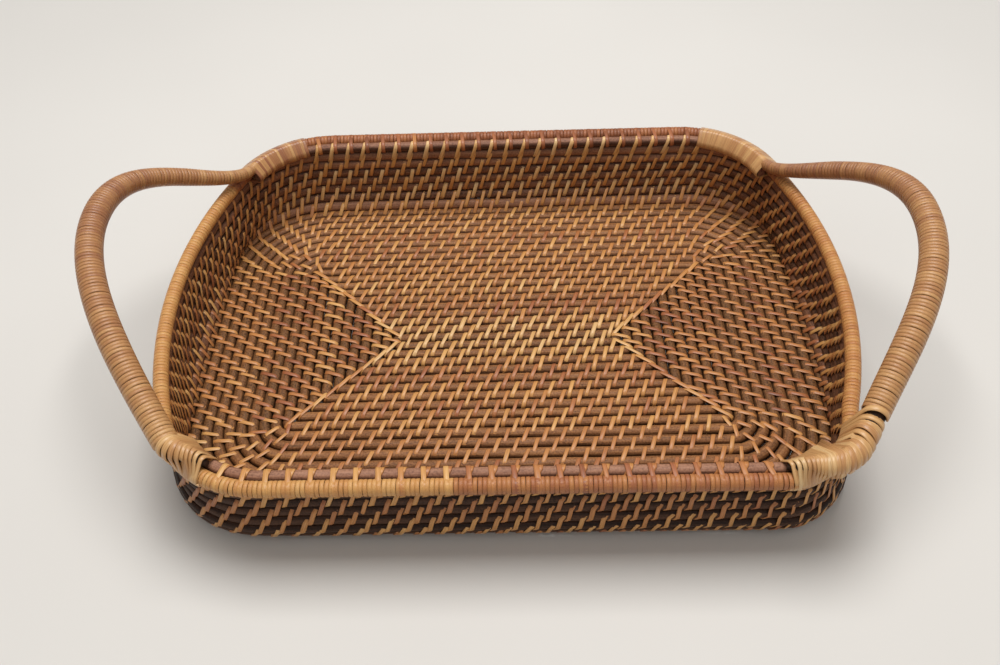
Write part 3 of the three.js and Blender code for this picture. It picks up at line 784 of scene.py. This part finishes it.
def floor_row(row, tones):
    """Stitches that bind one floor course to the next: along the sides, and through the corners."""
    inner = floor_outline(row)
    outer = floor_outline(row + 1)
    rounded = row >= MITRED_COURSES
    radius = (inner.corner_radius + outer.corner_radius) / 2 if rounded else 0.0
    shift = (row % 2) * 0.5
    stitches = []

    def sew(plan, out, half, lean=SLANT):
        plan = bulged(np.array(plan), row + 1.5 - FLOOR_COURSES, outer)
        stitches.append(Stitch((*plan, FLOOR_HEIGHT), (*out, 0), (-out[1], out[0], 0), half, CANE_RADIUS,
                               tones[len(stitches) % len(tones)], lean))

    def side(number):
        """Outward and along directions, distance out, half length of the straight part, first and last."""
        out, along = (np.array(v, float) for v in SIDES[number % 4])
        width = (inner.half_width + outer.half_width) / 2
        length = (inner.half_length + outer.half_length) / 2
        distance, half = (length, width - radius) if number % 2 else (width, length - radius)
        margin = 0 if rounded else MITRE_MARGINS[number % 2]
        first = (math.ceil((-half + margin) / STITCH_SPACING - shift) + shift) * STITCH_SPACING
        last = (math.floor((half - margin) / STITCH_SPACING - shift) + shift) * STITCH_SPACING
        return out, along, distance, half, first, last

    for number in range(4):
        out, along, distance, half, first, last = side(number)
        half_pitch = (END_PITCH if number % 2 else SIDE_PITCH) / 2
        for place in np.arange(first, last + STITCH_SPACING / 2, STITCH_SPACING):
            sew(out * distance + along * place, out, half_pitch)
            stitches[-1].tone -= END_STITCH_SHADE * (number % 2)
        corner = unit(out + along)
        if not rounded:
            sharp = out * distance + along * half
            sew(sharp - corner * MITRED_BEND * (math.sqrt(2) - 1), corner, MITRE_STITCH_HALF, MITRE_SLANT)
            continue
        *_, next_half, next_first, _ = side(number + 1)
        left_over = half - last
        stretch = left_over + radius * math.pi / 2 + (next_half + next_first)
        gaps = max(1, round(stretch / STITCH_SPACING))
        if row < CORNER_ROWS and gaps % 2:
            gaps += 1
        for n in range(1, gaps):
            way = stretch * n / gaps - left_over
            turn = min(max(way / radius, 0), math.pi / 2)
            towards, heading = direction(turn) @ [out, along], direction(turn) @ [along, -out]
            centre = out * (distance - radius) + along * half
            middle = row < CORNER_ROWS and n * 2 == gaps
            sew(centre + towards * radius + heading * (way - turn * radius), towards, END_PITCH / 2,
                MITRE_SLANT if middle else SLANT)
    return sewn(stitches[::-1])


def floor_tones(row):
    """Tones by the row: pale in the middle, then two darker rows, then mixed."""
    if row <= 1:
        return strand_tones(200, [0.74, 0.8])
    if row in (3, 4):
        return strand_tones(200, [0.3, 0.36, 0.55])
    return strand_tones(400, [0.36, 0.5, 0.58, 0.62, 0.7, 0.76])


middle_row = [Stitch(((n - 0.5) * STITCH_SPACING, 0, FLOOR_HEIGHT), (0, 1, 0), (-1, 0, 0), SIDE_PITCH / 2,
                     CANE_RADIUS, 0.78) for n in range(-5, 7)]
floor_sewing = [sewn(middle_row, False)]
floor_sewing += [floor_row(row, floor_tones(row)) for row in range(FLOOR_COURSES - 1)]
floor_stitches = finished("floor_stitches", strips, floor_sewing, stitch_finish, **STITCH_SIZES)

wall_count = round(wall_top.line().length / STITCH_SPACING)


def wall_stitch(bottom, top, out, tone, radius=WALL_CANE_RADIUS):
    travel = np.array([-out[1], out[0], 0])
    climb = top - bottom
    climb -= travel * climb.dot(travel)
    # Painted light and shade: stitches on the front are darker and those on the back lighter, as the light
    # falls; those towards the ends are darker too
    shade = 0.14 * abs(out[0]) - (0.14 if out[1] < 0 else 0.06) * out[1]
    return Stitch((bottom + top) / 2, unit(climb), travel, np.linalg.norm(climb) / 2, radius, tone - shade)


def course_places(course, shares):
    """Places on a wall course at shares of its length, and their outward directions."""
    outline = wall_outline(course)
    line = outline.line(2 * MM)
    plan, out = line.at(shares * line.length)
    plan = bulged(plan, course, outline)
    return lifted(plan, tilted(WALL_HEIGHTS[course], plan[:, 1])), out


def wall_row(row, tones):
    """Stitches that bind a wall course to the one below it."""
    shares = (np.arange(wall_count) + 0.5 * (row % 2)) / wall_count
    low, out = course_places(row, shares)
    high, _ = course_places(row + 1, shares)
    return [wall_stitch(*values) for values in zip(low, high, out, tones)]


def rod_row(half, tones):
    """Stitches that bind a rod to the wall below it, between two lashings."""
    stitches = []
    for distance, tone in zip(np.arange(*rod_span(half, "end"), STITCH_SPACING), tones):
        top, outward = on_rim(distance, 0, 0)
        bottom = np.array([*top[:2], tilted(WALL_HEIGHTS[-1], top[1])])
        stitches.append(wall_stitch(bottom, top, outward, tone, ROD_STITCH_RADIUS))
    return stitches


WALL_TONES = [[0.48, 0.56, 0.62, 0.7, 0.78, 0.84]] * (CLOSED_WALL_COURSES - 1) + [[0.66, 0.78, 0.84]]
wall_rows = [wall_row(row, strand_tones(wall_count, usual)) for row, usual in enumerate(WALL_TONES)]
wall_sewing = [sewn(row[::-1]) for row in wall_rows]
wall_sewing += [sewn(rod_row(half, strand_tones(wall_count, [0.6, 0.74, 0.8]))[::-1], False)
                for half in HALVES]
wall_stitches = finished("wall_stitches", strips, wall_sewing, stitch_finish, **STITCH_SIZES)


# Rim

SIDE_FROM = 100 * MM  # how far across the tray its long sides begin
# Strands on the long sides: side of the X axis, first and last place along it in millimetres, and tone
RIM_STRANDS = ((-1, -25, 147, 0.36), (-1, -999, -25, 0.67), (1, -999, 999, 0.28), (1, -48, 102, 0.22))


def rim_tone(places):
    """Straw, but for a red-brown strand on the front right and darker ones along the back."""
    x, y = places[:, 0], places[:, 1]
    tone = np.where(x < 0, 0.66, 0.56)
    for side, first, last, value in RIM_STRANDS:
        tone[(y * side > SIDE_FROM) & (x > first * MM) & (x <= last * MM)] = value
    return tone


rim_plan = pushed(rim_line.places[:-1], top_outline.moved_out(RIM_OFFSET))
rim_places = lifted(rim_plan, tilted(TOP_HEIGHT, rim_plan[:, 1]) + RIM_LIFT)
rim_lines = [{"points": rim_places, "closed": True, "thickness": RIM_ROD_RADIUS, "facing": (0, 0, 1),
              "tone": 0.3, "strand": 0.4}]
rim_rod = finished("rim_rod", canes, rim_lines, wall_cane_finish, sides=12, breadth=1.0)
turn_lines = [{"points": rim_places, "closed": True, "thickness": RIM_TURN_RADIUS,
               "tone": rim_tone(rim_places)}]
rim_turns = finished("rim_turns", turns, turn_lines, rim_finish,
                     pitch=TURN_PITCH, width=TURN_PITCH * 0.98, bulge=0.16, sides=14, seed=3,
                     tone_spread=0.09, tilt=math.radians(2))


# Strips round several canes

RIM_SEAT = np.array([RIM_OFFSET, RIM_LIFT])
LONG_TURN_SHIFT = STITCH_SPACING * 0.68  # beyond a stitch of the rod
# A long turn lies a little proud of the rod, and a little into the rim's close turns
LONG_TURN_BUNDLE = (((0, 0), ROD_RADIUS + 0.55 * MM), (RIM_SEAT, RIM_RADIUS - 0.46 * MM))


def hull(canes_in_bundle, turn):
    """Where a tight strip touches a bundle of canes, and the way it faces, for a turn in radians.
    Both are in the plane square to the rim: outwards first, then upwards."""
    normal = direction(turn)
    reaches = [np.dot(centre, normal) + radius for centre, radius in canes_in_bundle]
    centre, radius = canes_in_bundle[int(np.argmax(reaches))]
    return np.array(centre) + normal * radius, normal


def strip_point(distance, touch, normal):
    """Point of a strip at a distance along the rods' line, and the way it faces."""
    point, outward = on_rim(distance, *touch)
    return point, outward * normal[0] + np.array([0, 0, normal[1]])


def groove_angle(radius):
    """Where on the rim a cane lies that also touches a rod, in degrees from straight outwards."""
    to_rod = (CAD_CANE_RADIUS + radius) * FACETS + CLEARANCE
    to_rim = (RIM_RADIUS + radius) * FACETS + CLEARANCE
    span = np.linalg.norm(RIM_SEAT)
    at_rim = math.acos((to_rim ** 2 + span ** 2 - to_rod ** 2) / (2 * to_rim * span))
    return 180 - math.degrees(at_rim - math.atan2(RIM_LIFT, RIM_OFFSET))


def seat_on_rim(radius, degrees):
    """Centre of a cane that lies on the rim: outwards from the rods' line, then upwards."""
    away = (RIM_RADIUS + radius) * FACETS + CLEARANCE
    return RIM_SEAT + away * direction(math.radians(degrees))


def tail_at(handle, half, share):
    """Radius and seat of a tail, for the share of the way from its neck to its tip."""
    share = share ** TAIL_TAPERS[half]
    neck_radius = NECK_RADII[half]
    neck_seat = handle[half].get("seat", groove_angle(neck_radius))
    radius = neck_radius + (TAIL_TIP_RADIUS - neck_radius) * share
    return radius, seat_on_rim(radius, neck_seat + (groove_angle(TAIL_TIP_RADIUS) - neck_seat) * share)


# Handles


def leg(handle, half):
    """Points and bare radii from the neck to the middle of the grip."""
    side = handle["side"]
    values = handle[half]
    neck, _ = on_rim(corner_distance(handle, half, "neck"), *tail_at(handle, half, 0)[1])
    turn = math.radians(values["neck"] + values["splay"])
    climb = math.radians(values["climb"])
    inwards = -HALVES[half]
    heading = np.array([side * math.sin(turn) * math.cos(climb),
                        inwards * math.cos(turn) * math.cos(climb), math.sin(climb)])
    grip = np.array([side * (top_outline.half_length + handle["reach"] * MM), handle["grip_shift"] * MM,
                     TOP_HEIGHT + HANDLE_RISE])
    control = [neck, neck + heading * values["pull"] * MM,
               grip - np.array([0, inwards * values["grip_pull"] * MM, 0]), grip]
    t = np.linspace(0, 1, 161)[:, None]
    curve = sum(math.comb(3, k) * (1 - t) ** (3 - k) * t ** k * point for k, point in enumerate(control))
    share = distances(curve)
    share = share / share[-1]
    thin, thick = NECK_RADII[half], LEG_RADII[half]
    swell = eased(np.clip((share - SHOULDER) / (1 - SHOULDER), 0, 1))
    radius = np.where(share < SHOULDER, thin + (thick - thin) * share / SHOULDER,
                      thick + (GRIP_RADIUS - thick) * swell)
    return curve[::2], radius[::2]


def tail(handle, half):
    """Points and radii from the tip of a tail to just before the neck."""
    first = corner_distance(handle, half, "neck")
    last = corner_distance(handle, half, "end")
    seats = [(share, *tail_at(handle, half, share)) for share in np.linspace(1, 0, 16)[:-1]]
    points = [on_rim(first + (last - first) * share, *seat)[0] for share, _, seat in seats]
    return np.array(points), np.array([radius for _, radius, _ in seats])


HANDLE_TONES = {
    "left": [(0.0, 0.64), (0.12, 0.58), (0.3, 0.46), (0.62, 0.41), (0.78, 0.54), (1.0, 0.6)],
    "right": [(0.0, 0.5), (0.12, 0.6), (0.35, 0.56), (0.6, 0.48), (0.8, 0.36), (1.0, 0.46)],
}

handle_pieces = {}
for name, handle in HANDLES.items():
    legs = zip(*(leg(handle, half) for half in HALVES))
    leg_points, leg_radii = (np.concatenate([front, back[-2::-1]]) for front, back in legs)
    tails = zip(*(tail(handle, half) for half in HALVES))
    rod_points, rod_radii = (np.concatenate([front, middle, back[::-1]])
                             for (front, back), middle in zip(tails, (leg_points, leg_radii)))
    rod = {"points": rod_points, "closed": False, "thickness": rod_radii, "facing": (0, 0, 1),
           "tone": 0.3, "strand": 0.2}
    rod_piece = finished(f"handle_rod_{name}", canes, [rod], painted_shade_handle_cane_finish, sides=14, breadth=1.0)
    tone = np.interp(np.linspace(0, 1, len(leg_points)), *zip(*HANDLE_TONES[name]))
    lead = handle["front"]["lead"]
    under = distances(leg_points) >= ((lead + BARE_NECK) * MM if lead else 0)
    wound = {"points": leg_points[under], "closed": False, "thickness": leg_radii[under] + HANDLE_TURN_SEAT,
             "tone": tone[under]}
    wrap_piece = finished(f"handle_turns_{name}", turns, [wound], handle_finish,
                          pitch=HANDLE_TURN_PITCH, width=HANDLE_TURN_PITCH, bulge=0.085, sides=18, seed=5,
                          tone_spread=0.1, tilt=math.radians(1.5))
    handle_pieces[name] = (rod_piece, wrap_piece)


def long_turn(distance):
    """Turn of the rim's own strand that also goes over the rod."""
    points, facing = [], []
    for degrees in range(0, 360, 24):
        touch, normal = hull(LONG_TURN_BUNDLE, math.radians(degrees))
        point, face = strip_point(distance + touch[0] * 0.1, touch + normal * 0.1 * MM, normal)
        points.append(point)
        facing.append(face)
    tone = rim_tone(np.array(points))[0] + rng.normal(0, 0.07)
    return strip(points, True, facing, tone, rng.normal(1, 0.05))


long_turns = [long_turn(distance) for half in HALVES
              for distance in np.arange(*rod_span(half, "end"), STITCH_SPACING) + LONG_TURN_SHIFT]
rim_long_turns = finished("rim_long_turns", strips, long_turns, rim_finish,
                          width=LONG_TURN_WIDTH, thickness=STITCH_THICKNESS, corners=8, roundness=0.4)


def beside_rim(points):
    """Distances along the rods' line of a leg's points, and how far outwards and above that line they lie."""
    found = []
    for point in points:
        nearest = int(np.argmin(np.linalg.norm(top_line.places[:-1] - point[:2], axis=1)))
        distance = top_line.distance[nearest]
        place, outward = on_rim(distance, 0, 0)
        found.append((distance, (point - place) @ outward, point[2] - place[2]))
    return np.array(sorted(found)).T


def lashing(handle, half, tones):
    """One strip wound round a handle's tail, the rim and the rod, from the neck to the tip.
    It is broader on the outside of the corner, where its loops lie further apart."""
    neck = corner_distance(handle, half, "neck")
    end = corner_distance(handle, half, "end")
    forwards = math.copysign(1, end - neck)
    lead = handle[half]["lead"] * MM
    start = neck - lead * forwards
    leg_points, leg_radii = leg(handle, half)
    where, offsets, lifts = beside_rim(leg_points[:30])
    count = int(abs(end - start) / LASHING_PITCH) * LASHING_STEPS
    points, facing, tone, breadth = [], [], [], []

    def touched(distance, turn):
        """Where the strip touches the bundle, and the way it faces, at a distance along the rods' line."""
        share = (distance - neck) / (end - neck)
        if share >= 0:
            radius, seat = tail_at(handle, half, min(share, 1))
        else:
            radius = leg_radii[0]
            seat = (np.interp(distance, where, offsets), np.interp(distance, where, lifts))
        taken_in = min(max(share / TAKEN_IN, 0), 1) if lead else 1
        bundle = [((RIM_OFFSET * (1 - taken_in), 0), (ROD_RADIUS + 0.5 * MM) * (0.7 + 0.3 * taken_in)),
                  (RIM_SEAT, RIM_RADIUS - 0.4 * MM),
                  (seat, radius * 1.05)]
        return hull(bundle, turn)

    for i in range(count + 1):
        share = i / count
        level = start + (end - start) * share
        slant = LASHING_SLANT * min(share / SLANT_EASE, (1 - share) / SLANT_EASE, 1) if half == "front" else 0
        distance = level
        for _ in range(3):
            touch, normal = touched(distance, 2 * math.pi * i / LASHING_STEPS)
            distance = level + (touch[0] - SLANT_CENTRE) * slant * forwards
        touch = touch + normal * LASHING_SEAT
        point, face = strip_point(distance, touch, normal)
        point[1] = np.clip(point[1], -LASHING_LIMIT, LASHING_LIMIT)
        points.append(point)
        facing.append(face)
        tone.append(tones[(i // LASHING_STEPS) % len(tones)])
        breadth.append(1 + LASHING_BROADENING * touch[0] / TOP_CORNER_RADIUS)
    return strip(points, False, facing, tone, breadth)


LASHING_TONES = {
    "front_left": [0.62, 0.68, 0.72, 0.78],
    "front_right": [0.6, 0.72, 0.78, 0.84],
    "back_left": [0.3, 0.42, 0.6, 0.66],
    "back_right": [0.56, 0.64, 0.72],
}
LASHING_SIZES = dict(width=LASHING_PITCH * 1.6, thickness=1.0 * MM, corners=12, roundness=0.8)
lashing_pieces = {}
for name, handle in HANDLES.items():
    for half in HALVES:
        label = f"{half}_{name}"
        lines = [lashing(handle, half, rng.choice(LASHING_TONES[label], 40))]
        lashing_pieces[label] = finished(f"lashing_{label}", strips, lines, lashing_finish, **LASHING_SIZES)


# Pieces and the CAD nodes they stand for


def dressed(piece, slot, *nodes):
    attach(piece, "root")
    if nodes:
        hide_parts(*nodes)


dressed(floor_canes, "floor_cane", *[f"floor_course_{k:02d}" for k in range(FLOOR_COURSES)])
dressed(wall_canes, "wall_cane", *[f"wall_course_{k}" for k in range(1, CLOSED_WALL_COURSES + 1)])
dressed(top_rods, "wall_cane", "wall_course_8", "wall_course_8_back")
dressed(floor_stitches, "binding_peel", *[f"mitre_binding_{corner}" for corner in LASHING_TONES])
dressed(wall_stitches, "binding_peel")
dressed(rim_rod, "wall_cane", "rim_cane")
dressed(rim_turns, "rim_peel", "rim_wrap")
dressed(rim_long_turns, "rim_peel")
for name, (rod_piece, wrap_piece) in handle_pieces.items():
    dressed(rod_piece, "handle_cane", f"handle_cane_{name}")
    dressed(wrap_piece, "handle_peel", f"handle_wrap_{name}")
for corner, piece in lashing_pieces.items():
    dressed(piece, "lashing_peel", f"corner_lashing_{corner}")


# Floor, light and camera


def table_top():
    finish = Finish("table top")
    shade = finish.noise(finish.add("ShaderNodeTexCoord", output="Object"), 3.0)
    base = finish.ramp(shade, [(0.3, colour("d2cec8")), (0.7, colour("d6d2cc"))])
    mesh = bpy.data.meshes.new("table top")
    mesh.from_pydata([(x * 6, y * 6, 0) for x, y in ((-1, -1), (1, -1), (1, 1), (-1, 1))], [], [(0, 1, 2, 3)])
    mesh.materials.append(finish.surface(base, 0.8, shade, 0.01 * MM))
    made = placed("table_top", mesh)


def soft_light(name, place, size, power):
    light = bpy.data.lights.new(name, "AREA")
    light.shape = "SQUARE"
    light.size = size
    light.energy = power
    made = placed(name, light)
    made.location = place
    made.rotation_euler = (-Vector(place)).to_track_quat("-Z", "Y").to_euler()


table_top()
soft_light("overhead", (0.0, 0.3, 1.7), 1.0, 29)
soft_light("front", (0.3, -1.2, 1.7), 1.6, 5)

world = bpy.data.worlds.new("studio")
world.use_nodes = True
background = world.node_tree.nodes["Background"].inputs
background["Color"].default_value = colour("e2e1df")
background["Strength"].default_value = 0.42
bpy.context.scene.world = world

camera = bpy.data.cameras.new("camera")
camera.lens = 34.56
camera.sensor_width = 36
camera_object = placed("camera", camera)
camera_object.matrix_world = (
    Matrix.Translation((0.0120, -0.4480, 0.4762))
    @ Matrix.Rotation(math.radians(2.05), 4, "Z")
    @ Matrix.Rotation(math.radians(44.00), 4, "X")
    @ Matrix.Rotation(math.radians(-2.60), 4, "Z")
)
bpy.context.scene.camera = camera_object
bpy.context.scene.view_settings.view_transform = "Standard"
